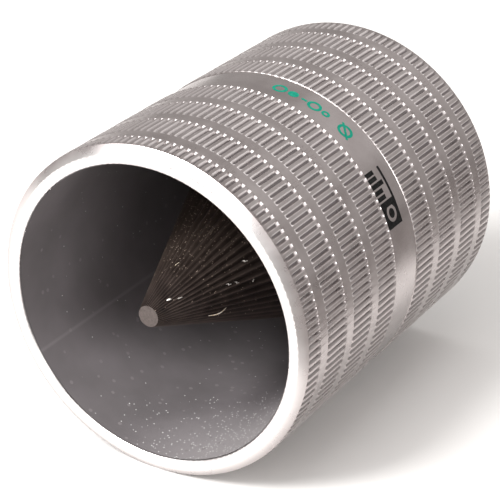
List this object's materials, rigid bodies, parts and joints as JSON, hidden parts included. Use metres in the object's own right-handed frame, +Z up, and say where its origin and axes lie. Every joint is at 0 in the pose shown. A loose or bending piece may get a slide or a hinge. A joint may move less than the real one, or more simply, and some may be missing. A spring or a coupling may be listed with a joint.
{
  "type": "pipe deburring tool",
  "caption": "Knurled hand tool that deburrs the inside and outside edges of cut pipe with a fluted cone at one end and a bladed funnel at the other.",
  "frame": {"origin": "centre of the bottom of the bounding box: on the surface the tool lies on, midway along the barrel", "axes": "+Y along the barrel's axis from the inside cutter's mouth to the outside cutter's, +Z up, +X to the right of someone looking along +Y"},
  "size_m": [0.07, 0.082, 0.07],
  "materials": {
    "knurled_aluminium": "turned and knurled bare aluminium",
    "black_oxide_steel": "hardened steel with a brown-black oxide skin",
    "blued_steel": "turned steel, dark blued",
    "ground_steel": "ground tool steel",
    "fastener_steel": "black oxidised fastener steel"
  },
  "bodies": {
    "root": {"barrel": "knurled_aluminium", "inside_cutter": "black_oxide_steel", "blade_holder": "blued_steel", "blade_1": "ground_steel", "blade_2": "ground_steel", "blade_3": "ground_steel", "blade_4": "ground_steel", "blade_5": "ground_steel", "blade_6": "ground_steel", "blade_7": "ground_steel", "blade_8": "ground_steel", "clamp_screw": "fastener_steel", "lock_washer": "fastener_steel", "key_pin_1": "fastener_steel", "key_pin_2": "fastener_steel", "key_pin_3": "fastener_steel", "retaining_ring": "fastener_steel"}
  },
  "joints": []
}
